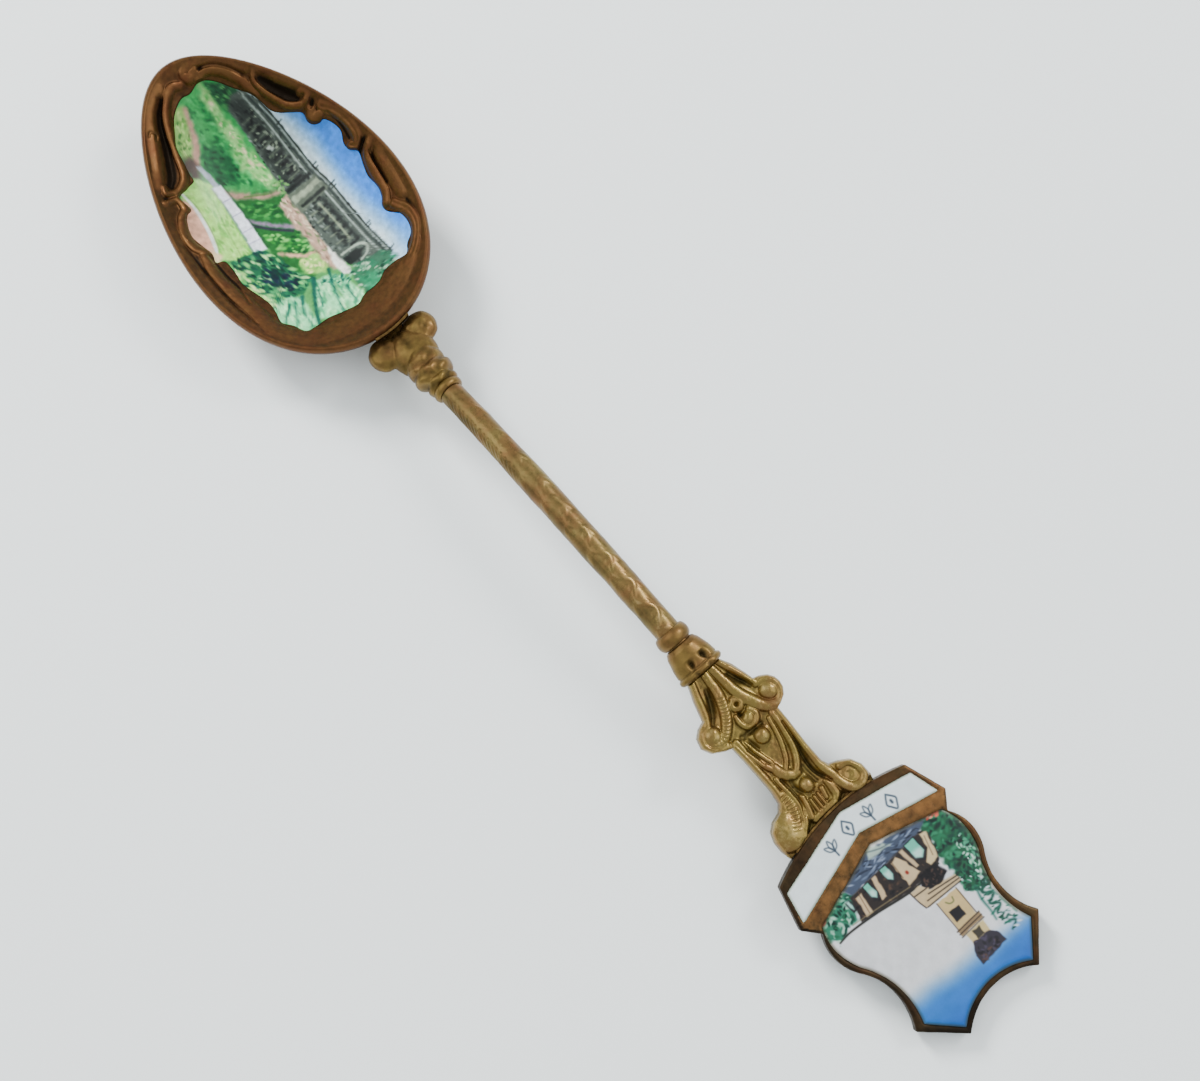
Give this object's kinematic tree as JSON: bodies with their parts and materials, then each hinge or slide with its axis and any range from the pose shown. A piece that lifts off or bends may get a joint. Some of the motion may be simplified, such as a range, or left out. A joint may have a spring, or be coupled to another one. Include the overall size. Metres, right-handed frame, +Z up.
{
  "type": "souvenir spoon",
  "caption": "Ornamental teaspoon with an egg-shaped scrolled bowl, a slender bent stem, a scrollwork panel and a shield-shaped finial, both faces set with painted enamel pictures.",
  "frame": {"origin": "centre of the bounding box in plan, at the level the spoon stands on", "axes": "+X along the spoon from the bowl's tip to the shield, +Z up out of the bowl, +Y across"},
  "size_m": [0.1202, 0.023, 0.0084],
  "materials": {
    "bowl_brass": "polished, darkened in the hollows",
    "bowl_picture_enamel": "glossy fired enamel",
    "brazing": "dull braze",
    "handle_brass": "polished, darkened in the hollows",
    "stem_brass": "polished, engraved",
    "panel_brass": "cast relief, darkened in the hollows",
    "shield_brass": "polished",
    "ribbon_white_enamel": "glossy fired enamel",
    "shield_picture_enamel": "glossy fired enamel"
  },
  "bodies": {
    "root": {"bowl": "bowl_brass", "bowl_enamel": "bowl_picture_enamel", "bowl_solder": "brazing", "heel_fitting": "handle_brass", "stem_ring": "handle_brass", "stem": "stem_brass", "collar": "handle_brass", "calyx": "handle_brass", "scroll_panel": "panel_brass", "shield_solder": "brazing", "shield_plate": "shield_brass", "ribbon_enamel": "ribbon_white_enamel", "shield_enamel": "shield_picture_enamel"}
  },
  "joints": []
}
